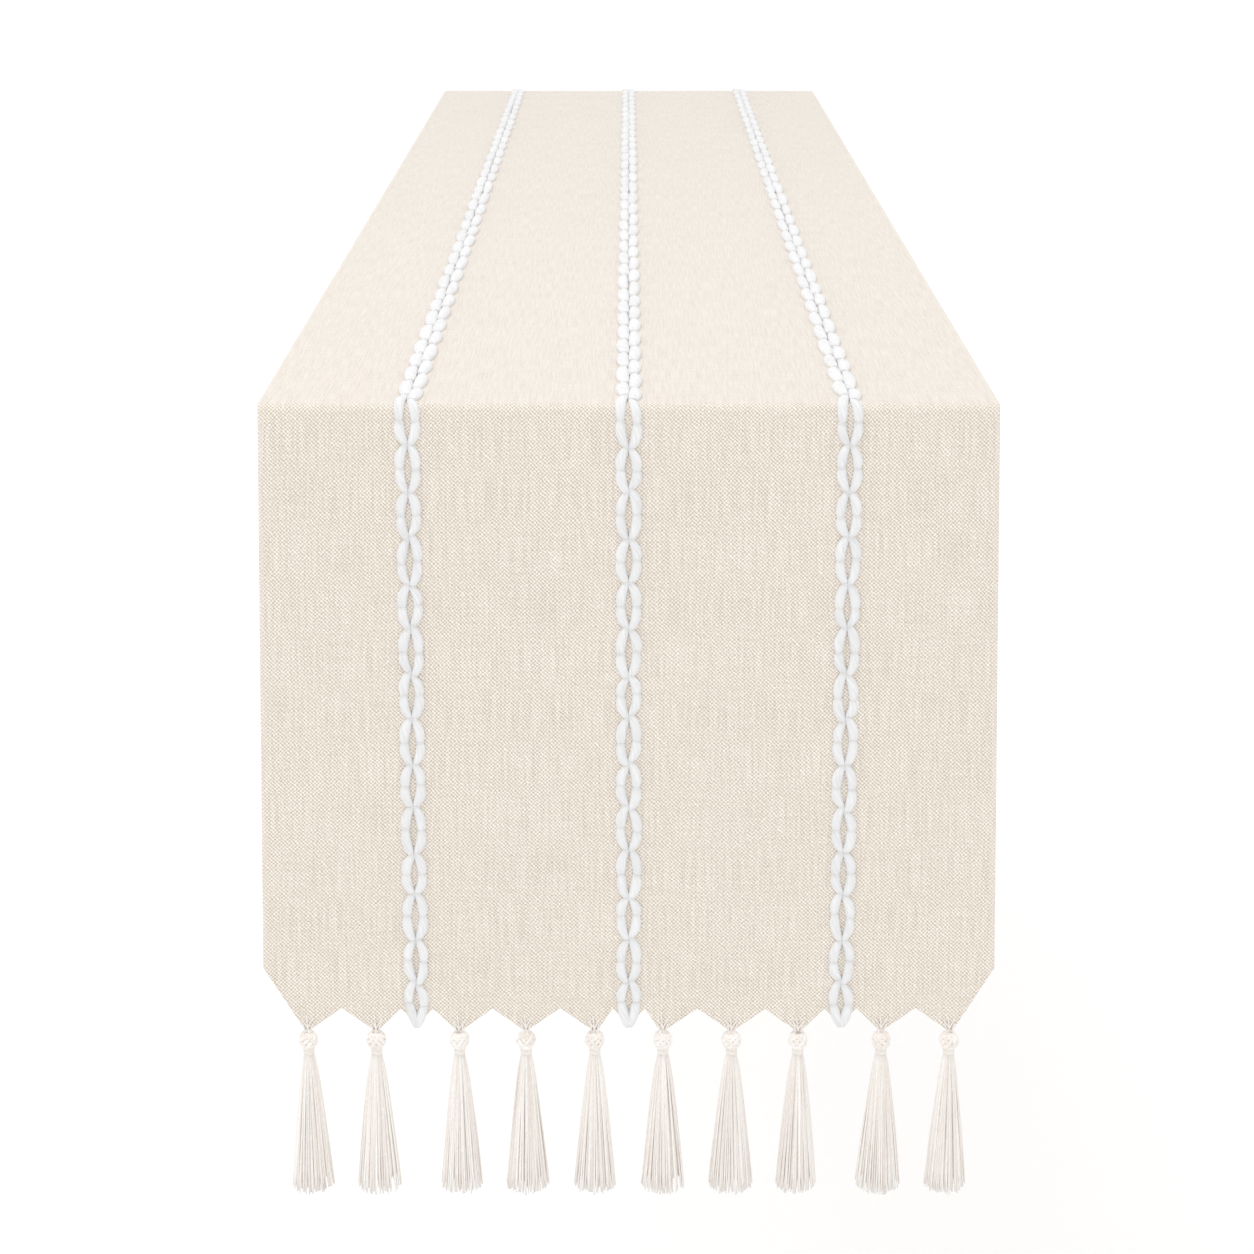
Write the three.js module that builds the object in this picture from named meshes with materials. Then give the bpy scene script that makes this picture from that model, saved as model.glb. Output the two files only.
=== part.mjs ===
// A long table runner laid over a table: a flat run along the table top, a rounded fold over each end of
// the table, and a hanging drop at each end with a pointed hem and a row of yarn tassels.
// Millimetres, +Z up. The origin is in the middle of the underside of the flat run, where it lies on the
// table. The run goes along Y, and the front drop is at -Y.

import * as THREE from 'three';

// Driving dimensions of the cloth
const RUN_WIDTH = 330;
const RUN_LENGTH = 1235;
const DROP_LENGTH = 291; // from the end of the fold to the tips of the tassel points
const CLOTH_THICK = 0.8;
const LINING_THICK = 0.4;
const LAYER_GAP = 0.3;
const FOLD_RADIUS = 4; // outer face
const LEAN_DEG = 4; // how far the drops stand off plumb
const DROP_START = 0.6; // clear of the fold, so that the drop can be lifted

// Hem: points for the tassels and the embroidery, with notches between them
const HEM_HALF_WIDTH = 169.5;
const CORNER_DROP = 261;
const NOTCH_DROP = 281;
const TASSEL_X = [15.9, 47.9, 78.9, 117.7, 149.4];
const TIP_HALF_WIDTH = 1.2;
const CHAIN_X = 98.5;
const CHAIN_POINT_DROP = 289;
const CHAIN_NOTCH = 7.5; // from the middle of a chain to the notches beside it

// Embroidered chains
const DROP_LINKS = 14; // from the pointed end to the start of the fold
const RUN_LINKS = 34;
const CHAIN_DROP = 290; // where the last link comes to a point
const CHAIN_HALF_WIDTH = 6;
const PINCH_HALF_WIDTH = 4;
const CHAIN_TIP_HALF_WIDTH = 0.8;
const CHAIN_THICK = 3.2;
const CHAIN_CLEAR = 1; // left off beside a fold

// Tassels, measured down from the tip of the cloth point that holds them
const KNOT_RADIUS = 4.5;
const KNOT_CENTRE = 5.6;
const BINDING_RADIUS = 2.7;
const BINDING_TOP = 9.7;
const BINDING_BOTTOM = 11.2;
const SKIRT_TOP = 11.8;
const SKIRT_BOTTOM = 80.8;
const SKIRT_TOP_RADIUS = 2.5;
const SKIRT_BOTTOM_RADIUS = 9.3;
const TASSEL_SIDES = 10;

const STACK_THICK = LINING_THICK + LAYER_GAP + CLOTH_THICK;
const FOLD_ANGLE = THREE.MathUtils.degToRad(90 - LEAN_DEG);
const FOLD_CENTRE_Z = STACK_THICK - FOLD_RADIUS;
const FOLD_LENGTH = FOLD_RADIUS * FOLD_ANGLE;

const cloth = new THREE.MeshStandardMaterial({ color: 0xe6dccd, roughness: 0.92, metalness: 0 });
const lining = new THREE.MeshStandardMaterial({ color: 0xece4d8, roughness: 0.9, metalness: 0 });
const chainYarn = new THREE.MeshStandardMaterial({ color: 0xf6f6f7, roughness: 0.75, metalness: 0 });
const tasselYarn = new THREE.MeshStandardMaterial({ color: 0xebe3dc, roughness: 0.85, metalness: 0 });

const runner = new THREE.Group();

function addMesh(parent, name, geometry, material) {
  const mesh = new THREE.Mesh(geometry, material);
  mesh.name = name;
  parent.add(mesh);
  return mesh;
}

function extrude(outline, depth) {
  return new THREE.ExtrudeGeometry(new THREE.Shape(outline), { depth, bevelEnabled: false });
}

// A flat layer of the run on the table top.
function runLayer(bottom, thick) {
  const geometry = new THREE.BoxGeometry(RUN_WIDTH, RUN_LENGTH, thick);
  geometry.translate(0, 0, bottom + thick / 2);
  return geometry;
}

// A layer that bends over the end of the table, between two radii of the fold. The section is drawn with
// x outwards and y up from the fold's centre, starts past the run's end, and is extruded across the width.
function foldLayer(innerRadius, outerRadius) {
  const startAngle = Math.PI / 2 - LAYER_GAP / FOLD_RADIUS;
  const section = new THREE.Shape();
  section.absarc(0, 0, outerRadius, startAngle, Math.PI / 2 - FOLD_ANGLE, true);
  section.absarc(0, 0, innerRadius, Math.PI / 2 - FOLD_ANGLE, startAngle, false);
  const geometry = new THREE.ExtrudeGeometry(section, {
    depth: RUN_WIDTH,
    bevelEnabled: false,
    curveSegments: 9,
  });
  geometry.translate(0, 0, -RUN_WIDTH / 2);
  geometry.rotateX(Math.PI / 2);
  geometry.rotateZ(-Math.PI / 2);
  return geometry;
}

// The outline of a drop, with x across it and y up it: straight sides that spread a little towards the
// hem, a slanting corner at each side, and a zigzag of points and notches between them.
function dropOutline() {
  const points = [
    ...TASSEL_X.flatMap((x) => [-x, x]).map((x) => ({ x, drop: DROP_LENGTH, tassel: true })),
    ...[-CHAIN_X, 0, CHAIN_X].map((x) => ({ x, drop: CHAIN_POINT_DROP, tassel: false })),
  ].sort((a, b) => a.x - b.x);
  const outline = [new THREE.Vector2(-RUN_WIDTH / 2, -DROP_START)];
  outline.push(new THREE.Vector2(-HEM_HALF_WIDTH, -CORNER_DROP));
  points.forEach((point, i) => {
    const half = point.tassel ? TIP_HALF_WIDTH : 0;
    if (half) outline.push(new THREE.Vector2(point.x - half, -point.drop));
    outline.push(new THREE.Vector2(point.x + half, -point.drop));
    const next = points[i + 1];
    if (next) outline.push(new THREE.Vector2(notchBetween(point, next), -NOTCH_DROP));
  });
  outline.push(new THREE.Vector2(HEM_HALF_WIDTH, -CORNER_DROP));
  outline.push(new THREE.Vector2(RUN_WIDTH / 2, -DROP_START));
  return outline;
}

function notchBetween(left, right) {
  if (!left.tassel) return left.x + CHAIN_NOTCH;
  if (!right.tassel) return right.x - CHAIN_NOTCH;
  return (left.x + right.x) / 2;
}

// A chain's half width at a distance along it: pinched where its links meet, widest between them.
function chainHalfWidth(along, link, endHalfWidth) {
  const phase = Math.abs(((along / link) % 1) - 0.5) * 2; // 1 at a pinch, 0 at the widest place
  const pinch = along < link / 2 ? endHalfWidth : PINCH_HALF_WIDTH;
  return THREE.MathUtils.lerp(CHAIN_HALF_WIDTH, pinch, phase);
}

// A stretch of chain at column x between two distances along it, which are its y.
function chainLength(x, link, from, to, endHalfWidth) {
  const stations = [from];
  for (let i = Math.floor((2 * from) / link) + 1; (i * link) / 2 < to; i++) stations.push((i * link) / 2);
  stations.push(to);
  const half = (s) => chainHalfWidth(s, link, endHalfWidth);
  const side = (sign) => stations.map((s) => new THREE.Vector2(x + sign * half(s), s));
  return extrude([...side(1), ...side(-1).reverse()], CHAIN_THICK);
}

// A turned piece on a vertical axis, from [radius, distance down] pairs.
function turned(profile) {
  const outline = profile.map(([radius, down]) => new THREE.Vector2(radius, -down)).reverse();
  const geometry = new THREE.LatheGeometry(outline, TASSEL_SIDES);
  geometry.rotateX(Math.PI / 2);
  return geometry;
}

// The round knot with the binding of yarn under it.
function knotGeometry() {
  const ball = [-75, -45, -15, 15, 40].map((deg) => {
    const angle = THREE.MathUtils.degToRad(deg);
    return [KNOT_RADIUS * Math.cos(angle), KNOT_CENTRE + KNOT_RADIUS * Math.sin(angle)];
  });
  return turned([
    [0, KNOT_CENTRE - KNOT_RADIUS],
    ...ball,
    [BINDING_RADIUS, BINDING_TOP],
    [BINDING_RADIUS, BINDING_BOTTOM],
    [0, BINDING_BOTTOM],
  ]);
}

// The skirt of loose yarn ends, which spreads evenly towards its cut end.
function skirtGeometry() {
  const rings = [0, 0.12, 0.5, 1].map((part) => [
    THREE.MathUtils.lerp(SKIRT_TOP_RADIUS, SKIRT_BOTTOM_RADIUS, Math.pow(part, 0.85)),
    THREE.MathUtils.lerp(SKIRT_TOP, SKIRT_BOTTOM, part),
  ]);
  return turned([[0, SKIRT_TOP], ...rings, [0, SKIRT_BOTTOM]]);
}

// Flat run: lining below, face cloth above it, and the three chains on top
addMesh(runner, 'lining_top', runLayer(0, LINING_THICK), lining);
addMesh(runner, 'cloth_top', runLayer(LINING_THICK + LAYER_GAP, CLOTH_THICK), cloth);

const chainSides = ['left', 'centre', 'right'];
const runLink = RUN_LENGTH / RUN_LINKS;
const dropLink = (CHAIN_DROP + FOLD_LENGTH) / DROP_LINKS;
const runChainEnd = RUN_LENGTH - CHAIN_CLEAR;
chainSides.forEach((side, i) => {
  const geometry = chainLength((i - 1) * CHAIN_X, runLink, CHAIN_CLEAR, runChainEnd, PINCH_HALF_WIDTH);
  geometry.translate(0, -RUN_LENGTH / 2, STACK_THICK + LAYER_GAP);
  addMesh(runner, `chain_top_${side}`, geometry, chainYarn);
});

// Both ends are the same, turned half round from each other
for (const [end, facing] of [['front', 1], ['back', -1]]) {
  const half = new THREE.Group();
  half.rotation.z = facing === 1 ? 0 : Math.PI;
  runner.add(half);

  const fold = new THREE.Group();
  fold.position.set(0, -RUN_LENGTH / 2, FOLD_CENTRE_Z);
  half.add(fold);
  const liningRadius = FOLD_RADIUS - CLOTH_THICK - LAYER_GAP;
  addMesh(fold, `lining_${end}_fold`, foldLayer(liningRadius - LINING_THICK, liningRadius), lining);
  addMesh(fold, `cloth_${end}_fold`, foldLayer(FOLD_RADIUS - CLOTH_THICK, FOLD_RADIUS), cloth);

  // Drop, in a group whose y runs up the cloth and whose z comes out of its face
  const drop = new THREE.Group();
  drop.position.set(0, -FOLD_RADIUS * Math.sin(FOLD_ANGLE), FOLD_RADIUS * Math.cos(FOLD_ANGLE));
  drop.rotation.x = FOLD_ANGLE;
  fold.add(drop);
  const liningMesh = addMesh(drop, `lining_${end}_drop`, extrude(dropOutline(), LINING_THICK), lining);
  liningMesh.position.z = -STACK_THICK;
  const clothMesh = addMesh(drop, `cloth_${end}_drop`, extrude(dropOutline(), CLOTH_THICK), cloth);
  clothMesh.position.z = -CLOTH_THICK;
  chainSides.forEach((side, i) => {
    // Its topmost link bends over the fold, which this straight solid stops short of
    const top = CHAIN_DROP - CHAIN_CLEAR;
    const x = facing * (i - 1) * CHAIN_X;
    const mesh = addMesh(
      drop,
      `chain_${end}_${side}`,
      chainLength(x, dropLink, 0, top, CHAIN_TIP_HALF_WIDTH),
      chainYarn,
    );
    mesh.position.set(0, -CHAIN_DROP, LAYER_GAP);
  });

  // Tassels hang plumb from the tips, numbered from the left as seen from the front
  const tassels = [...TASSEL_X.map((x) => -x), ...TASSEL_X].sort((a, b) => facing * (a - b));
  tassels.forEach((x, i) => {
    const tassel = new THREE.Group();
    tassel.position.set(x, -DROP_LENGTH, -STACK_THICK / 2);
    tassel.rotation.x = -FOLD_ANGLE;
    drop.add(tassel);
    const name = `${end}_tassel_${String(i + 1).padStart(2, '0')}`;
    addMesh(tassel, `${name}_knot`, knotGeometry(), tasselYarn);
    addMesh(tassel, `${name}_skirt`, skirtGeometry(), tasselYarn);
  });
}

export default runner;
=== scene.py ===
"""A lined table runner with chain embroidery and tassels, laid over a table end to end.

Metres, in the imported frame: the origin is in the middle of the flat run's underside, the runner's
length is along Y with its front end at -Y, and Z is up.
"""

import math

import bpy
import numpy as np
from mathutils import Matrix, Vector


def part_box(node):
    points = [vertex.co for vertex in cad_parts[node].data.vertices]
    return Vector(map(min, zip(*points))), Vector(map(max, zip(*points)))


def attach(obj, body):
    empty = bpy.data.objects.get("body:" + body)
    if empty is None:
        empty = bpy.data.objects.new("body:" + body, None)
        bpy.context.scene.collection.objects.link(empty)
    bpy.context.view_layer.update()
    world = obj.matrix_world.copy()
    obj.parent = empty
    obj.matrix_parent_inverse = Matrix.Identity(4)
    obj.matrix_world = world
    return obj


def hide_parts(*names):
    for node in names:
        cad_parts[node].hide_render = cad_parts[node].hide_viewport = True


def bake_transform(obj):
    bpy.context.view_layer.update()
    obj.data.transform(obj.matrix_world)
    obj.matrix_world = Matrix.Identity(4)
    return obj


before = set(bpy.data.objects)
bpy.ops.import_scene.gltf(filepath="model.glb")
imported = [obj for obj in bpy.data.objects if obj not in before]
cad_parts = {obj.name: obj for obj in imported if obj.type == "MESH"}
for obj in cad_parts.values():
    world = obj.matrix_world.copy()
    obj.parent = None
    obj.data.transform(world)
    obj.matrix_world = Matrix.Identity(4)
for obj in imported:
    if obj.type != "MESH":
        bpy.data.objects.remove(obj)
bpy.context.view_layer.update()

# ---------------------------------------------------------------- How the runner lies
# One length of lined cloth lies flat on the table, bends over each end and hangs a little off plumb.
# Everything on it is drawn on the flat cloth, and lay() then puts it where the draped cloth is.

run_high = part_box("cloth_top")[1]
RUN_HALF = run_high.y
RUN_EDGE = run_high.x
FACE_Z = run_high.z
FOLD_RADIUS = 0.004
OFF_PLUMB = math.radians(4)
FOLD_TURN = math.radians(90) - OFF_PLUMB
DROP_START = RUN_HALF + FOLD_RADIUS * FOLD_TURN  # all distances along the cloth are from its middle
ENDS = {"front": -1, "back": 1}
RIPPLE = 0.0005  # the height of the soft ripples at the hem
CREASE = 0.00012  # and of the faint creases everywhere
RIPPLED_HANG = 0.29  # how far down the ripples are full


def relief(across, way):
    """The cloth's own unevenness: faint on the table, growing to soft ripples at the hem."""
    hang = np.clip((np.abs(way) - DROP_START) / RIPPLED_HANG, 0, 1)
    ripples = np.sin(across * 43 + 1.1 * np.sign(way)) + 0.6 * np.sin(across * 76 + 2)
    creases = np.sin(across * 31 + way * 9) * np.sin(way * 23 + 0.7)
    return RIPPLE * ripples * hang**1.5 + CREASE * creases


def lay(across, way, lift):
    """Points on the draped runner, from places on the flat one: across its width, along its way from
    the middle with the front negative, and how far they lift off its outer face."""
    across, way, lift = np.broadcast_arrays(across, way, lift)
    far = np.abs(way)
    turn = np.clip((far - RUN_HALF) / FOLD_RADIUS, 0, FOLD_TURN)
    hang = np.maximum(far - DROP_START, 0)
    reach = FOLD_RADIUS + lift + relief(across, way)
    out = np.minimum(far, RUN_HALF) + reach * np.sin(turn) + hang * np.cos(turn)
    up = FACE_Z - FOLD_RADIUS + reach * np.cos(turn) - hang * np.sin(turn)
    return np.stack([across, np.sign(way) * out, up], axis=-1)


def across_fold(piece, end):
    """Bakes a piece's placement into its mesh. It finds where the fold at one end starts and stops, but
    does not bend the piece.
    """
    start, stop = (lay(0, ENDS[end] * way, 0) for way in (RUN_HALF, DROP_START))
    tuple(start)
    tuple(stop)
    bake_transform(piece)


# ---------------------------------------------------------------- Face cloth
# A beige linen-look plain weave of slubby yarns, cut with a pointed hem. Its edges are turned under,
# which leaves a fine flat rim with a faint seam line beside it.

HEM_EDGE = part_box("cloth_front_drop")[1].x
CORNER_HANG = 0.261
NOTCH_HANG = 0.281
TIP_HANG = 0.291
CHAIN_TIP_HANG = 0.289
TIP_HALF = 0.0020
CHAIN_NOTCH = 0.0075
EVEN_HANG = 0.245  # down to here the rows of the mesh are level
HEM_BAND = 0.035  # about how far the rows run from there to the hem
HEM_SHRINK = 1.3  # how much further an inset hem moves in than its straight sides, because it slants
FACE_THICK = 0.0008
TURNED_THICK = 0.0015
THREAD = 0.0009
PALE_FROM = 0.0026  # how far in from the edge the turning's paler tone begins
PALE_FULL = 0.0018  # and where it is full
FACE_GRID = 0.003  # the spacing of the mesh
LAP = 0.0005  # how far the front half of the mesh runs on over the back half, which dips under it
LAP_DEPTH = 0.00005
SIDES = ("left", "centre", "right")


def middle(node):
    low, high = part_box(node)
    return (low + high) / 2


tassel_x = [middle(f"front_tassel_{i:02d}_knot").x for i in range(1, 11)]
chain_x = [middle(f"chain_front_{side}").x for side in SIDES]


def hem_outline():
    """The hem as (across, hang) points from one corner to the other: a blunt tip for each tassel, a
    sharp one under each chain, and a notch between neighbours."""
    tips = sorted([(x, TIP_HANG) for x in tassel_x] + [(x, CHAIN_TIP_HANG) for x in chain_x])
    outline = [(-HEM_EDGE, CORNER_HANG)]
    for i, (x, hang) in enumerate(tips):
        if i > 0:
            last_x, last_hang = tips[i - 1]
            if last_hang == CHAIN_TIP_HANG:
                notch = last_x + CHAIN_NOTCH
            elif hang == CHAIN_TIP_HANG:
                notch = x - CHAIN_NOTCH
            else:
                notch = (last_x + x) / 2
            outline.append((notch, NOTCH_HANG))
        outline += [(x - TIP_HALF, hang), (x + TIP_HALF, hang)] if hang == TIP_HANG else [(x, hang)]
    return np.array(outline + [(HEM_EDGE, CORNER_HANG)])


HEM = hem_outline()
# The turned edge's section: how far in from the edge, and how deep its face and its underside lie there as
# a share of TURNED_THICK. It is round at the edge, flat over the turning, and dips at the seam.
RIM = [(0, 0.42, 0.58), (0.00025, 0.16, 0.84), (0.0007, 0.03, 0.97), (0.0015, 0, 1), (0.0023, 0.05, 1)]
RIM += [(0.0027, 0.1, 0.9), (0.0031, 0.03, 0.6), (0.0038, 0, FACE_THICK / TURNED_THICK)]


def spread(places, gap):
    """More places between the given ones, no further apart than gap."""
    runs = [np.linspace(a, b, max(1, math.ceil((b - a) / gap - 0.01)), endpoint=False)
            for a, b in zip(places, places[1:])]
    return np.concatenate(runs + [[places[-1]]])


def flat_grid(end, inset, gap):
    """Rows and columns of places on one half of the flat cloth, from the middle of the run to the hem,
    and how far in from the edge each is. inset moves the outline in."""
    edge = HEM_EDGE - inset
    rim = np.array([r[0] for r in RIM])
    inner = HEM[(HEM[:, 0] > -edge + rim[-1]) & (HEM[:, 0] < edge - rim[-1]), 0]
    columns = spread([-edge + rim[-1], *inner, edge - rim[-1]], gap)
    columns = np.concatenate([-edge + rim[:-1], columns, edge - rim[-2::-1]])
    hem = np.interp(columns, HEM[:, 0], HEM[:, 1]) - HEM_SHRINK * inset
    level = np.concatenate([[0, 2 * LAP], spread([4 * LAP, RUN_HALF], 2 * gap)])
    level = np.concatenate([level[:-1], spread([RUN_HALF, DROP_START], FOLD_RADIUS / 8)])
    level = np.concatenate([level[:-1], spread([DROP_START, DROP_START + EVEN_HANG], 1.3 * gap)])
    level = np.repeat(level[:, None], len(columns), axis=1)
    below = np.linspace(0, 1, math.ceil(HEM_BAND / gap))[1:, None]
    last = hem - rim[-1]
    hem_rows = DROP_START + EVEN_HANG + (last - EVEN_HANG) * below
    rim_rows = DROP_START + hem - rim[-2::-1, None]
    far = np.concatenate([level, hem_rows, rim_rows])
    hang = np.clip((far - DROP_START) / CORNER_HANG, 0, 1)
    share = np.repeat(columns[None] / HEM_EDGE, len(far), axis=0)
    across = share * (RUN_EDGE + (HEM_EDGE - RUN_EDGE) * hang)
    from_edge = np.minimum(edge - np.abs(columns)[None], DROP_START + hem - far)
    return across, ENDS[end] * far, share * RUN_EDGE, np.maximum(from_edge, 0)


def add_piece(name, points, faces, uvs, materials, smooth, marks):
    """A mesh object from arrays. smooth and marks say of each face whether it is shaded smooth and which
    material it has, and the flat places become the UV map."""
    mesh = bpy.data.meshes.new(name)
    mesh.from_pydata(points.reshape(-1, 3).tolist(), [], faces)
    mesh.polygons.foreach_set("use_smooth", smooth)
    mesh.polygons.foreach_set("material_index", marks)
    corners = np.empty(len(mesh.loops), np.int32)
    mesh.loops.foreach_get("vertex_index", corners)
    layer = mesh.uv_layers.new(name="flat")
    layer.data.foreach_set("uv", uvs.reshape(-1, 2)[corners].astype(np.float32).ravel())
    for material in materials:
        mesh.materials.append(material)
    piece = bpy.data.objects.new(name, mesh)
    bpy.context.collection.objects.link(piece)
    return piece


def cloth_piece(name, end, depths, inset, gap, material):
    """A closed layer of draped cloth for one half of the runner. depths gives the depth below the outer
    face of its upper and lower surface, from the distance in from the edge."""
    across, way, flat_x, from_edge = flat_grid(end, inset, gap)
    rows, columns = across.shape
    upper, lower = depths(from_edge)
    if end == "front":
        way[0] += LAP
    else:
        upper[0] += LAP_DEPTH
        upper[1] = upper[2]
    points = np.concatenate([lay(across, way, -upper), lay(across, way, -lower)])
    index = np.arange(2 * rows * columns).reshape(2, rows, columns)
    quads = [np.stack([grid[:-1, :-1], grid[:-1, 1:], grid[1:, 1:], grid[1:, :-1]], -1).reshape(-1, 4)
             for grid in index]
    loop = np.concatenate([np.arange(rows * columns).reshape(rows, columns)[side] for side in
                           (np.s_[0, :-1], np.s_[:-1, -1], np.s_[-1, :0:-1], np.s_[:0:-1, 0])])
    follow = np.roll(loop, -1)
    under = rows * columns
    walls = np.stack([loop, loop + under, follow + under, follow], -1)
    faces = np.concatenate([quads[0][:, ::-1], quads[1], walls[:, ::-1]])
    if ENDS[end] > 0:
        faces = faces[:, ::-1]
    smooth = np.ones(len(faces), bool)
    smooth[2 * len(quads[0]):][: columns - 1] = False  # the wall where the two halves join
    uvs = np.stack([flat_x, way], -1)
    marks = [0] * len(faces)
    return add_piece(name, points, faces.tolist(), np.concatenate([uvs, uvs]), [material], smooth, marks)


class Link:
    """An output in a material's node tree, with arithmetic."""

    def __init__(self, tree, socket=None):
        self.tree = tree
        self.socket = socket

    def node(self, kind, settings, inputs, output=0):
        """Any node: its settings are set first, then its inputs."""
        made = self.tree.nodes.new(kind)
        for key, value in settings.items():
            setattr(made, key, value)
        for key, value in inputs.items():
            if isinstance(value, Link):
                self.tree.links.new(value.socket, made.inputs[key])
            else:
                made.inputs[key].default_value = value
        return Link(self.tree, made.outputs[output])

    def maths(self, operation, *values):
        return self.node("ShaderNodeMath", {"operation": operation}, dict(enumerate(values)))

    def __add__(self, other):
        return self.maths("ADD", self, other)

    def __sub__(self, other):
        return self.maths("SUBTRACT", self, other)

    def __mul__(self, other):
        return self.maths("MULTIPLY", self, other)

    def __rsub__(self, other):
        return self.maths("SUBTRACT", other, self)

    __radd__ = __add__
    __rmul__ = __mul__

    def cosine(self):
        return self.maths("COSINE", self)

    def between(self, low, high):
        """0 below low, 1 above high, smooth between them."""
        return self.node("ShaderNodeMapRange", {"interpolation_type": "SMOOTHSTEP"},
                         {"Value": self, "From Min": low, "From Max": high})

    def mix(self, low, high):
        """A colour from low to high as this goes from 0 to 1."""
        return self.node("ShaderNodeMix", {"data_type": "RGBA"}, {0: self, 6: low, 7: high}, 2)

    def noise(self, place, scale, detail):
        return self.node("ShaderNodeTexNoise", {}, {"Vector": place, "Scale": scale, "Detail": detail})

    def place(self, x, y):
        return self.node("ShaderNodeCombineXYZ", {}, {"X": x, "Y": y})


def new_finish(name, specular, sheen):
    """A material with its shader's fixed values, a start for its node maths, and its flat places."""
    material = bpy.data.materials.new(name)
    material.use_nodes = True
    shader = material.node_tree.nodes["Principled BSDF"]
    shader.inputs["Specular IOR Level"].default_value = specular
    shader.inputs["Sheen Weight"].default_value = sheen
    start = Link(material.node_tree)
    flat = start.node("ShaderNodeUVMap", {"uv_map": "flat"}, {})
    x = start.node("ShaderNodeSeparateXYZ", {}, {"Vector": flat}, "X")
    y = start.node("ShaderNodeSeparateXYZ", {}, {"Vector": flat}, "Y")
    return material, start, x, y


def dress(material, colour, roughness, height, depth):
    """Joins what varies over a surface to its shader: colour, roughness, and height as a bump."""
    shader = material.node_tree.nodes["Principled BSDF"]
    bump = height.node("ShaderNodeBump", {}, {"Height": height, "Distance": depth, "Strength": 1.0})
    links = material.node_tree.links
    for link, name in ((colour, "Base Color"), (roughness, "Roughness"), (bump, "Normal")):
        links.new(link.socket, shader.inputs[name])
    return material


def linen(name, dark, light, rim, thread):
    """Plain weave: lengthwise and crosswise threads pass over each other in turn, which leaves rows of
    raised crowns and sunken pores. The colour follows the same pattern as the bump, with painted light on
    the crowns and painted shade in the pores. The threads wander a little, and are thicker in places."""
    material, start, x, y = new_finish(name, specular=0.2, sheen=0.4)
    warp_drift = start.noise(start.place(x, y), 0.33 / thread, 2) - 0.5
    weft_drift = start.noise(start.place(y, x + 3), 0.33 / thread, 2) - 0.5
    warp = (x + warp_drift * (1.7 * thread)) * (math.pi / thread)
    weft = (y + weft_drift * (1.7 * thread)) * (math.pi / thread)
    strong = start.noise(start.place(x, y), 0.8 / thread, 1) + 0.5
    over = ((warp + weft).cosine() * -0.56 + (warp - weft).cosine() * 0.44) * strong
    streak = start.noise(start.place(x * (1 / thread), y * 40), 1, 1) - 0.5
    bar = start.noise(start.place(x * 50, y * (1 / thread)), 1, 1) - 0.5
    cloudy = start.noise(start.place(x, y), 18, 3) - 0.5
    # over paints light on the thread crowns and shade in the pores; streak, bar and cloudy are the
    # threads' own uneven tone
    shade = over * 0.54 + streak * 0.55 + bar * 0.3 + cloudy * 0.06 + 0.51
    edge = x.maths("ABSOLUTE", x).between(RUN_EDGE - PALE_FROM, RUN_EDGE - PALE_FULL)
    colour = (edge * 0.3).mix(shade.mix(dark, light), rim)
    height = over * 0.7 + streak * 0.4
    return dress(material, colour, 0.95 - over * 0.04, height, 0.00014)


def tint(red, green, blue):
    """A colour given as screen values from 0 to 255, as the shader wants it."""
    values = [v / 255 for v in (red, green, blue)]
    return (*[v / 12.92 if v <= 0.04045 else ((v + 0.055) / 1.055) ** 2.4 for v in values], 1)


def face_depths(from_edge):
    rim = np.array(RIM)
    return (TURNED_THICK * np.interp(from_edge, rim[:, 0], rim[:, 1]),
            TURNED_THICK * np.interp(from_edge, rim[:, 0], rim[:, 2]))


# The pore tint is painted shade in the weave's hollows, and the crown tint is painted light on the raised
# threads
PORE_PAINTED_SHADE = tint(196, 185, 170)
CROWN_PAINTED_LIGHT = tint(253, 245, 236)
TURNED_EDGE = tint(234, 225, 214)
face_linen = linen("face_linen", PORE_PAINTED_SHADE, CROWN_PAINTED_LIGHT, TURNED_EDGE, THREAD)
face = {}
for end in ENDS:
    face[end] = cloth_piece(f"face_cloth_{end}", end, face_depths, 0, FACE_GRID, face_linen)
    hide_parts("cloth_top", f"cloth_{end}_fold", f"cloth_{end}_drop")
    across_fold(face[end], end)

# ---------------------------------------------------------------- Lining
# A thinner plain cloth sewn inside the turned rim of the face cloth. It lies on the table, and it hides
# the backs of the stitches.

LINING_INSET = 0.0036
LINING_UPPER = 0.0011  # both depths are from the face cloth's outer face
LINING_LOWER = 0.0015
LINING_THREAD = 0.0005
LINING_TUCK = 0.0002  # how much thinner the lining is at its edge
TUCK_WIDTH = 0.002
LINING_GRID = 0.005


def lining_depths(from_edge):
    tucked = LINING_TUCK * (1 - np.clip(from_edge / TUCK_WIDTH, 0, 1))
    return LINING_UPPER + 0 * from_edge, LINING_LOWER - tucked


# The pore tint is painted shade in the lining's weave hollows, and the crown tint is painted light on its
# raised threads
LINING_PORE_PAINTED_SHADE = tint(205, 194, 178)
LINING_CROWN_PAINTED_LIGHT = tint(250, 244, 235)
LINING_EDGE = tint(238, 231, 221)
lining_cloth = linen("lining_cloth", LINING_PORE_PAINTED_SHADE, LINING_CROWN_PAINTED_LIGHT, LINING_EDGE, LINING_THREAD)
for end in ENDS:
    name = f"lining_{end}"
    lining = cloth_piece(name, end, lining_depths, LINING_INSET, LINING_GRID, lining_cloth)
    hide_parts("lining_top", f"lining_{end}_fold", f"lining_{end}_drop")
    across_fold(lining, end)

# ---------------------------------------------------------------- Embroidered chains
# Two thick soft white yarns lie side by side and bow apart and together into almond links. A thin
# thread ties them down where they meet and where they are widest, which makes each length a plump
# grain. The links on the run are longer than those on the drops.

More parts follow.
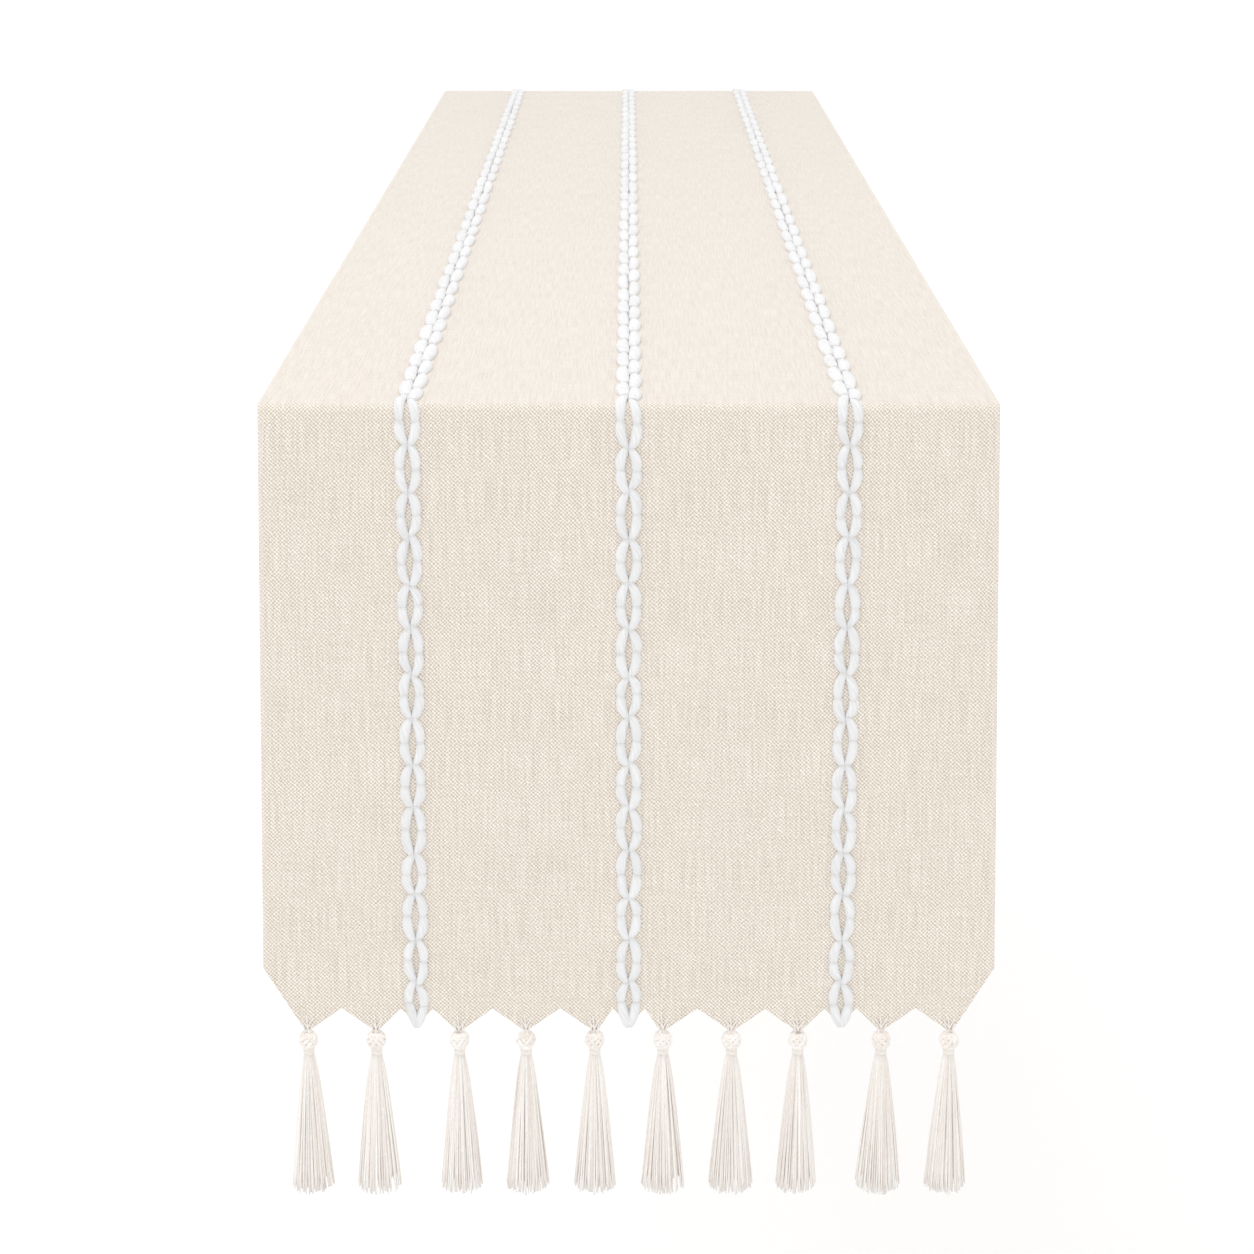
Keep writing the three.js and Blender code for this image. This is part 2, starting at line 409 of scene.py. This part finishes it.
CHAIN_END = DROP_START + 0.2888  # where the last link comes to a point
DROP_LINKS = 14
HALF_RUN_LINKS = 17
MEET = 0.0011  # from the chain's middle to a yarn's, where the yarns touch
BOW = 0.0035  # and where they are widest apart
BEAD_ENDS = (0.0016, 0.0024)  # on the run, from the chain's middle to the ends of a bead
BEAD_BOW = 0.0030  # and to its middle, where it is plumpest
POINT_ENDS = (0.0008, 0.0023)  # at a chain's pointed end, from its middle to a yarn's start and middle
YARN_HALF = 0.0023  # half a yarn's width
YARN_RISE = 0.0015  # half its height
DROP_PLUMP = 1.05  # how thick the drops' lengths are against those two
BEAD_PLUMP = 1.36  # and the run's beads
BEAD_GROWTH = 0.2  # how much longer the beads get towards the middle of the run
DROP_UNEVEN = 0.0010  # how unevenly the ties are spaced on the drops
RUN_UNEVEN = 0.0022  # and on the run
SINK = 0.6  # how much of a yarn's half height is pressed into its bed
MEET_NECK = 0.0013  # how far the round end of a grain runs on under the tie, where the yarns touch
BOW_NECK = 0.0019  # and where they are widest apart
TIE_RADIUS = 0.00022
TIE_AT_BOW = 0.76  # how much a tie squeezes the yarn where the yarns are widest apart
TIE_AT_MEET = 0.72  # and elsewhere
FIRST_BEAD = {-1: 0.3, 1: 0.0}  # where each side's first bead starts, in beads from the fold
BEAD_SHIFT = {-1: 0.3, 1: -0.2}  # and how far the later ones are shifted, so that the sides alternate
RING = np.linspace(0, 2 * math.pi, 14, endpoint=False)


class Pile:
    """Swept tubes gathered into the arrays of one mesh."""

    def __init__(self):
        self.points, self.faces, self.uvs, self.marks = [], [], [], []
        self.count = 0

    def sweep(self, rings, lengths, start=0.0, mark=0):
        """Adds a tube through rings of points, closed at both ends, with how far along each ring is.
        start shifts its place in the fibres' pattern."""
        steps, sides = rings.shape[:2]
        here, there = rings[steps // 2 - 1], rings[steps // 2]
        outside = np.cross(here[1] - here[0], there[0] - here[0])
        if outside @ (here[0] - here.mean(axis=0)) < 0:
            rings = rings[:, ::-1]
        index = self.count + np.arange(steps * sides).reshape(steps, sides)
        turned = np.roll(index, -1, axis=1)
        walls = np.stack([index[:-1], turned[:-1], turned[1:], index[1:]], -1).reshape(-1, 4)
        centres = self.count + steps * sides + np.arange(2)
        first = np.stack([turned[0], index[0], np.full(sides, centres[0])], -1)
        last = np.stack([index[-1], turned[-1], np.full(sides, centres[1])], -1)
        ends = rings[[0, -1]].mean(axis=1)
        around = start + np.broadcast_to(np.abs(np.arange(sides) / sides - 0.5), (steps, sides))
        along = start + np.broadcast_to(np.asarray(lengths)[:, None], (steps, sides))
        tips = np.array([[start + 0.25, start + lengths[0]], [start + 0.25, start + lengths[-1]]])
        self.points += [rings.reshape(-1, 3), ends]
        self.uvs += [np.stack([around, along], -1).reshape(-1, 2), tips]
        self.faces += walls.tolist() + first.tolist() + last.tolist()
        self.marks += [mark] * (len(walls) + 2 * sides)
        self.count += steps * sides + 2

    def piece(self, name, materials):
        points = np.concatenate(self.points)
        uvs = np.concatenate(self.uvs)
        return add_piece(name, points, self.faces, uvs, materials, [True] * len(self.faces), self.marks)


def yarn_finish(name, dark, light, twist, fineness, depth, specular, sheen, uneven):
    """Soft yarn: fine fibres run along it, slanting with its twist, with painted light on their crowns and
    painted shade between them. depth is how far they stand out, and uneven is how much the yarn's lengths
    differ in tone."""
    material, start, around, along = new_finish(name, specular, sheen)
    strand = around + along * twist
    fibres = start.noise(start.place(strand * fineness, along * 90), 1, 2)
    fuzz = start.noise(start.place(around * 40, along * 5200), 1, 2)
    height = fibres + fuzz * 0.25
    tone = start.noise(start.place(along * 7, 0), 1, 0)
    # fibres and fuzz paint light on the raised fibres and shade between them; tone is the yarn's own
    # uneven colour
    shade = (fibres - 0.5) * 1.3 + (fuzz - 0.5) * 0.3 + (tone - 0.5) * uneven + 0.58
    return dress(material, shade.mix(dark, light), 0.85 - fibres * 0.2, height, depth)


# The dark tints are painted shade between the fibres, and the light tints are painted light on their
# crowns
chain_yarn = yarn_finish("chain_yarn", tint(214, 214, 216), tint(249, 249, 249), twist=25, fineness=26,
                         depth=0.0004, specular=0.35, sheen=0.15, uneven=0.3)
tie_thread = yarn_finish("tie_thread", tint(220, 218, 216), tint(246, 245, 244), twist=400, fineness=5,
                         depth=0.0001, specular=0.3, sheen=0, uneven=0.3)


def grain(x, side, ends, apart, plump, chance):
    """One length of yarn between two ties, as rings of draped points. apart is how far its start, its
    middle and its end are from the chain's middle."""
    necks = [BOW_NECK if out == BOW else MEET_NECK for out in (apart[0], apart[2])]
    lead = np.array([-1, 1]) * necks * np.sign(ends[1] - ends[0])
    part = np.sin(np.linspace(-math.pi / 2, math.pi / 2, 13)) * 0.5 + 0.5
    full = np.maximum(1 - np.abs(2 * part - 1) ** 2.3, 0.004) ** 0.5
    places = ends[0] + lead[0] + (ends[1] + lead[1] - ends[0] - lead[0]) * part
    inside = np.clip((places - ends[0]) / (ends[1] - ends[0]), 0, 1)
    start, mid, stop = apart
    bowed = start + (stop - start) * inside + (mid - (start + stop) / 2) * np.sin(math.pi * inside)
    half = YARN_HALF * plump * full * chance.uniform(0.94, 1.05)
    rise = YARN_RISE * plump * full * chance.uniform(0.92, 1.08)
    centre = x + side * bowed + chance.normal(0, 0.0001)
    across = centre[:, None] + half[:, None] * np.cos(RING)
    lift = rise[:, None] * np.maximum(np.sin(RING), -0.7) + YARN_RISE * (1 - SINK) * full[:, None] ** 0.5
    return lay(across, places[:, None], lift), np.abs(places - places[0])


def tie(centre, way, slant, squeeze):
    """A thin thread over a yarn, down into the cloth at both sides."""
    angles = np.radians(np.linspace(-20, 200, 9))
    beta = np.linspace(0, 2 * math.pi, 6, endpoint=False)
    out = TIE_RADIUS * np.cos(beta)
    across = centre + (YARN_HALF * squeeze + out[None]) * np.cos(angles)[:, None]
    lift = YARN_RISE * squeeze * 0.7 + (YARN_RISE * squeeze + out[None]) * np.sin(angles)[:, None]
    place = way + slant * np.cos(angles)[:, None] + TIE_RADIUS * np.sin(beta)[None]
    return lay(across, place, lift), angles * YARN_HALF


def chain_yarn_lengths(side, chance):
    """The lengths of one yarn of half a chain, from its pointed end to the middle of the run: their two
    ends, how far apart the yarns are there and between them, and how plump they are. On the drop a link
    has two tied lengths. On the run it has one bead, and the two sides' beads alternate."""
    hang = np.linspace(CHAIN_END, RUN_HALF, 2 * DROP_LINKS + 1)
    hang[1:] += chance.normal(0, DROP_UNEVEN, 2 * DROP_LINKS)
    starts = [FIRST_BEAD[side], *np.arange(1, HALF_RUN_LINKS) + BEAD_SHIFT[side], HALF_RUN_LINKS]
    part = np.array(starts) / HALF_RUN_LINKS
    run = RUN_HALF * (1 - (1 - BEAD_GROWTH) * part - BEAD_GROWTH * part**2)
    run[1:-1] += chance.normal(0, RUN_UNEVEN, len(run) - 2)
    hang[-1] = run[0]
    for i in range(2 * DROP_LINKS):
        start, stop = (BOW, MEET) if i % 2 else (MEET, BOW)
        apart = (start, 0.9 * BOW + 0.1 * MEET, stop) if i > 0 else (*POINT_ENDS, stop)
        yield (hang[i], hang[i + 1]), apart, DROP_PLUMP
    for i in range(len(run) - 1):
        yield (run[i], run[i + 1]), (BEAD_ENDS[0], BEAD_BOW, BEAD_ENDS[1]), BEAD_PLUMP


for end, facing in ENDS.items():
    for number, (side_name, x) in enumerate(zip(SIDES, chain_x)):
        chance = np.random.default_rng(40 + number + 3 * (facing > 0))
        pile = Pile()
        for side in (-1, 1):
            for ends, apart, plump in chain_yarn_lengths(side, chance):
                way = facing * np.array(ends)
                pile.sweep(*grain(x, side, way, apart, plump, chance), chance.uniform(0, 9))
                if ends[0] < CHAIN_END:
                    squeeze = TIE_AT_BOW if apart[0] == BOW else TIE_AT_MEET
                    hoop = tie(x + side * apart[0], way[0], chance.normal(0, 0.0002), squeeze)
                    pile.sweep(*hoop, mark=1)
        chain = pile.piece(f"chain_{side_name}_{end}_half", [chain_yarn, tie_thread])
        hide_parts(f"chain_{end}_{side_name}", f"chain_top_{side_name}")
        across_fold(chain, end)

# ---------------------------------------------------------------- Tassel stitches
# Off-white yarn is sewn through each cloth point with a few slanting stitches that meet at its tip, and
# the tassel hangs from them.

STITCH_RADIUS = 0.00038
# Where each stitch goes in, as its place across and up from the tip, and where it ends across the tip
STITCHES = [(-0.0027, 0.0048, 0.0004), (0.0026, 0.0052, -0.0005), (-0.0008, 0.0068, -0.0001),
            (-0.0022, 0.0026, -0.0015), (0.0023, 0.0028, 0.0014)]

# The dark tint is painted shade between the fibres and also the darker tone of uneven lengths; the light
# tint is painted light on fibre crowns and the paler lengths
tassel_yarn = yarn_finish("tassel_yarn", tint(230, 219, 210), tint(255, 253, 250), twist=260, fineness=6,
                          depth=0.00018, specular=0.3, sheen=0.2, uneven=1.7)


def tube_rings(path, radius, sides, facing):
    """Rings of a round tube along a path. facing gives a direction across the path at each point."""
    along = np.gradient(path, axis=0)
    along /= np.linalg.norm(along, axis=1)[:, None]
    facing = np.broadcast_to(facing, path.shape)
    first = facing - (facing * along).sum(1)[:, None] * along
    first /= np.linalg.norm(first, axis=1)[:, None]
    second = np.cross(along, first)
    beta = np.linspace(0, 2 * math.pi, sides, endpoint=False)
    radius = np.broadcast_to(radius, len(path))[:, None, None]
    circle = np.cos(beta)[:, None] * first[:, None] + np.sin(beta)[:, None] * second[:, None]
    return path[:, None] + radius * circle


def path_lengths(path):
    steps = np.linalg.norm(np.diff(path, axis=0), axis=1)
    return np.concatenate([[0], np.cumsum(steps)])


for end, facing in ENDS.items():
    chance = np.random.default_rng(70 + facing)
    pile = Pile()
    for x in tassel_x:
        for top_x, up, low_x in STITCHES:
            for below_cloth in (False, True):
                part = np.linspace(0, 1, 9)
                across = x + top_x * chance.uniform(0.85, 1.15) * (1 - part) ** 1.2 + low_x * part
                way = DROP_START + TIP_HANG - up * chance.uniform(0.85, 1.1) * (1 - part) + 0.0004 * part
                lift = 0.0003 * np.sin(math.pi * np.minimum(part * 3 + 0.02, 0.5)) - 0.0007 * part**6
                lift = -TURNED_THICK - lift if below_cloth else lift
                path = lay(across, facing * way, lift)
                pile.sweep(tube_rings(path, STITCH_RADIUS, 6, (0, 1, 0)), path_lengths(path))
    stitches = pile.piece(f"tassel_stitches_{end}", [tassel_yarn])
    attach(stitches, f"{end}_drop")

# ---------------------------------------------------------------- Tassel knots
# Each tassel's yarn is wound on slanting courses into a round knot that hangs by short yarns from the
# tip of its cloth point, and a few turns of the same yarn bind the bundle under it.

KNOT_RADIUS = 0.0047
PACKED_KNOT_RADIUS = 0.0045  # the knot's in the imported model, whose top is at the box's top
WIND_RADIUS = 0.00078
WIND_TURNS = 9
BIND_TURNS = 3
BIND_RADIUS = 0.00042
HANGER_RADIUS = 0.0006
KNOT_BELOW_TIP = 0.0050  # its centre
NECK_TOP = 0.0098  # this and the next two are how far below the tip
NECK_CORE_TOP = 0.0085
NECK_BOTTOM = 0.0114
NECK_HALF = 0.0023


def wound_ball(pile, centre, chance):
    """Yarn wound on a slanting course round a ball, whose slant turns a little with each turn."""
    core = np.linspace(-math.pi / 2, math.pi / 2, 9)
    inner = KNOT_RADIUS - 1.2 * WIND_RADIUS
    levels = centre + np.outer(inner * np.sin(core), [0, 0, 1])
    radii = inner * np.maximum(np.cos(core), 0.02)
    pile.sweep(tube_rings(levels, radii, 10, (1, 0, 0)), path_lengths(levels))
    turn = np.linspace(0, 2 * math.pi * WIND_TURNS, WIND_TURNS * 20)
    swing = turn * chance.uniform(0.10, 0.13) + chance.uniform(0, 6)
    tilt = math.radians(chance.uniform(48, 58))
    x, y = np.cos(turn), np.sin(turn) * math.cos(tilt)
    z = np.sin(turn) * math.sin(tilt)
    ball = np.stack([x * np.cos(swing) - y * np.sin(swing), x * np.sin(swing) + y * np.cos(swing), z], 1)
    over = 1 + 0.06 * np.sin(turn * 0.5 + chance.uniform(0, 6))
    path = centre + ball * (over * (KNOT_RADIUS - 1.1 * WIND_RADIUS))[:, None]
    pile.sweep(tube_rings(path, WIND_RADIUS, 7, ball), path_lengths(path), chance.uniform(0, 9))


def binding(pile, tip):
    """Turns of yarn round the neck."""
    turn = np.linspace(0, 2 * math.pi * BIND_TURNS, BIND_TURNS * 16)
    outward = np.stack([np.cos(turn), np.sin(turn), 0 * turn], 1)
    drop = np.linspace(NECK_TOP, NECK_BOTTOM, len(turn))
    path = tip + outward * NECK_HALF - np.outer(drop, [0, 0, 1])
    pile.sweep(tube_rings(path, BIND_RADIUS, 6, outward), path_lengths(path))


def hangers(pile, tip, chance):
    """Short yarns from the cloth's tip into the top of the knot."""
    for lean in (-1, -0.3, 0.4, 1):
        part = np.linspace(0, 1, 5)[:, None]
        low = [0.0019 * lean, chance.uniform(-0.0012, 0.0012), -0.0024]
        path = tip + np.array([0.0009 * lean, 0, 0.0003]) * (1 - part) + np.array(low) * part
        pile.sweep(tube_rings(path, HANGER_RADIUS, 6, (0, 1, 0)), path_lengths(path), chance.uniform(0, 9))


def tassels():
    """Each tassel's name, and the tip that it hangs from."""
    for end in ENDS:
        for i in range(1, 11):
            name = f"{end}_tassel_{i:02d}"
            low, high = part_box(f"{name}_knot")
            top = np.array((low + high) / 2)
            top[2] = high.z - PACKED_KNOT_RADIUS + KNOT_BELOW_TIP
            yield name, top


for number, (name, tip) in enumerate(tassels()):
    chance = np.random.default_rng(100 + number)
    pile = Pile()
    wound_ball(pile, tip - [0, 0, KNOT_BELOW_TIP], chance)
    hangers(pile, tip, chance)
    binding(pile, tip)
    core = tip - np.outer(np.linspace(NECK_CORE_TOP, NECK_BOTTOM, 4), [0, 0, 1])
    pile.sweep(tube_rings(core, NECK_HALF, 10, (1, 0, 0)), path_lengths(core))
    knot = pile.piece(f"{name}_wound_knot", [tassel_yarn])
    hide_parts(f"{name}_knot")
    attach(knot, f"{name}_head")

# ---------------------------------------------------------------- Tassel skirts
# The loose ends of the yarn hang straight from the neck and spread evenly, cut a little unevenly.

OUTER_STRANDS = 60
INNER_STRANDS = 54
LOCKS = 19  # the outer yarns part into this many locks
LOCK_DEPTH = 0.00032
WANDER = 0.00025  # how far a yarn strays from a straight line
STRAYS = 0.03  # the share of yarns that stray out of the bundle
STRAY_OUT = 1.13
STRAND_RADIUS = 0.00044
OUTER_SHARE = 0.95  # how far out the outer yarns are, as a share of the skirt's radius
CORE_SHARE = 0.86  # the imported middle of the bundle, and how far short of the cut it ends
CORE_SHORT = 0.007
SKIRT_START = 0.0109  # below the tip, as is the next
SKIRT_END = 0.0798
NECK_BUNDLE = 0.0020  # the bundle's radius in the neck
FLARE = 0.82  # below 1, so that it widens soonest near the neck
FLUTES = 24
FLUTE_DEPTH = 0.025


def packed_core(reach):
    """The bundle's middle: its yarns lie close, so it is one fluted body."""
    down = np.linspace(0, 1, 12)
    around = np.linspace(0, 2 * math.pi, 3 * FLUTES, endpoint=False)
    radius = CORE_SHARE * (NECK_BUNDLE + (reach - NECK_BUNDLE) * down**FLARE)[:, None]
    radius = radius * (1 + FLUTE_DEPTH * np.cos(FLUTES * around))
    fall = SKIRT_START + (SKIRT_END - CORE_SHORT - SKIRT_START) * down[:, None] + 0 * around
    return np.stack([radius * np.cos(around), radius * np.sin(around), -fall], 2), fall[:, 0]


def strand(tip, angle, share, lock, reach, length, chance):
    """One yarn end: from its place in the neck out to its place in the skirt's cut end. lock is how far
    it stands out from its neighbours."""
    down = np.linspace(0, 1, 11)
    wander = WANDER * down * np.sin(down * chance.uniform(2, 7) + chance.uniform(0, 6))
    wander += lock * np.minimum(8 * down, 1)
    radius = share * (NECK_BUNDLE + (reach - NECK_BUNDLE) * down**FLARE) + wander
    swirl = angle + chance.normal(0, 0.02) * down
    fall = SKIRT_START + (length - SKIRT_START) * down
    path = tip + np.stack([radius * np.cos(swirl), radius * np.sin(swirl), -fall], 1)
    thick = STRAND_RADIUS * np.interp(down, [0, 0.15, 0.97, 1], [0.75, 1, 1, 0.75])
    return tube_rings(path, thick, 6, (1, 0, 0)), path_lengths(path)


for number, (name, tip) in enumerate(tassels()):
    chance = np.random.default_rng(200 + number)
    pile = Pile()
    reach = chance.uniform(0.0092, 0.0104)  # the skirt's radius at its cut end
    core, lengths = packed_core(reach)
    pile.sweep(tip + core, lengths)
    for i in range(OUTER_STRANDS + INNER_STRANDS):
        outer = i < OUTER_STRANDS
        angle = 2 * math.pi * i / OUTER_STRANDS + chance.normal(0, 0.02)
        lock = LOCK_DEPTH * math.cos(LOCKS * angle + number) if outer else 0
        share = OUTER_SHARE + chance.normal(0, 0.010) if outer else chance.uniform(0.3, 0.88)
        share *= STRAY_OUT if chance.random() < STRAYS else 1
        length = SKIRT_END + chance.normal(-0.0004, 0.0005)
        pile.sweep(*strand(tip, angle, share, lock, reach, length, chance), chance.uniform(0, 9))
    skirt = pile.piece(f"{name}_yarn_skirt", [tassel_yarn])
    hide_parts(f"{name}_skirt")
    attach(skirt, f"{name}_tail")

# ---------------------------------------------------------------- Studio
# A plain pale floor, as far below the flat run as a table is high, even daylight all round and one soft
# lamp from the upper left, with the camera in front of the near end.

FLOOR_DROP = 0.75
FLOOR_SIZE = 60
DAYLIGHT = 1.03
LAMP_PLACE = Vector((-0.7, -0.9, 1.9))
LAMP_AIM = Vector((0, -0.45, 0))
LAMP_SIZE = 1.2
LAMP_POWER = 10
CAMERA_BACK = 1.1455  # in front of the near end of the flat run
CAMERA_UP = 0.2651  # above the run's face
CAMERA_PITCH = math.radians(15.34)
FOCAL = 2.105  # in frame widths
SHIFT_ASIDE = -0.0014  # the lens's shifts are in frame widths too
SHIFT_UP = -0.0946

bpy.ops.mesh.primitive_plane_add(size=FLOOR_SIZE, location=(0, 0, -FLOOR_DROP))
floor = bpy.context.object
floor.name = "floor"
floor_paint = bpy.data.materials.new("floor_paint")
floor_paint.use_nodes = True
floor_paint.node_tree.nodes["Principled BSDF"].inputs["Base Color"].default_value = tint(255, 255, 255)
floor_paint.node_tree.nodes["Principled BSDF"].inputs["Roughness"].default_value = 0.9
floor.data.materials.append(floor_paint)

world = bpy.data.worlds.new("daylight")
world.use_nodes = True
world.node_tree.nodes["Background"].inputs["Color"].default_value = (1, 1, 1, 1)
world.node_tree.nodes["Background"].inputs["Strength"].default_value = DAYLIGHT
bpy.context.scene.world = world

light = bpy.data.lights.new("key", "AREA")
light.size = LAMP_SIZE
light.energy = LAMP_POWER
lamp = bpy.data.objects.new("key", light)
lamp.location = LAMP_PLACE
lamp.rotation_euler = (LAMP_AIM - LAMP_PLACE).to_track_quat("-Z", "Y").to_euler()
bpy.context.collection.objects.link(lamp)

lens = bpy.data.cameras.new("camera")
lens.sensor_width = 36
lens.lens = FOCAL * lens.sensor_width
lens.shift_x = SHIFT_ASIDE
lens.shift_y = SHIFT_UP
camera = bpy.data.objects.new("camera", lens)
camera.location = (0, -RUN_HALF - CAMERA_BACK, FACE_Z + CAMERA_UP)
camera.rotation_euler = (math.radians(90) - CAMERA_PITCH, 0, 0)
bpy.context.collection.objects.link(camera)
bpy.context.scene.camera = camera
bpy.context.scene.view_settings.view_transform = "Standard"
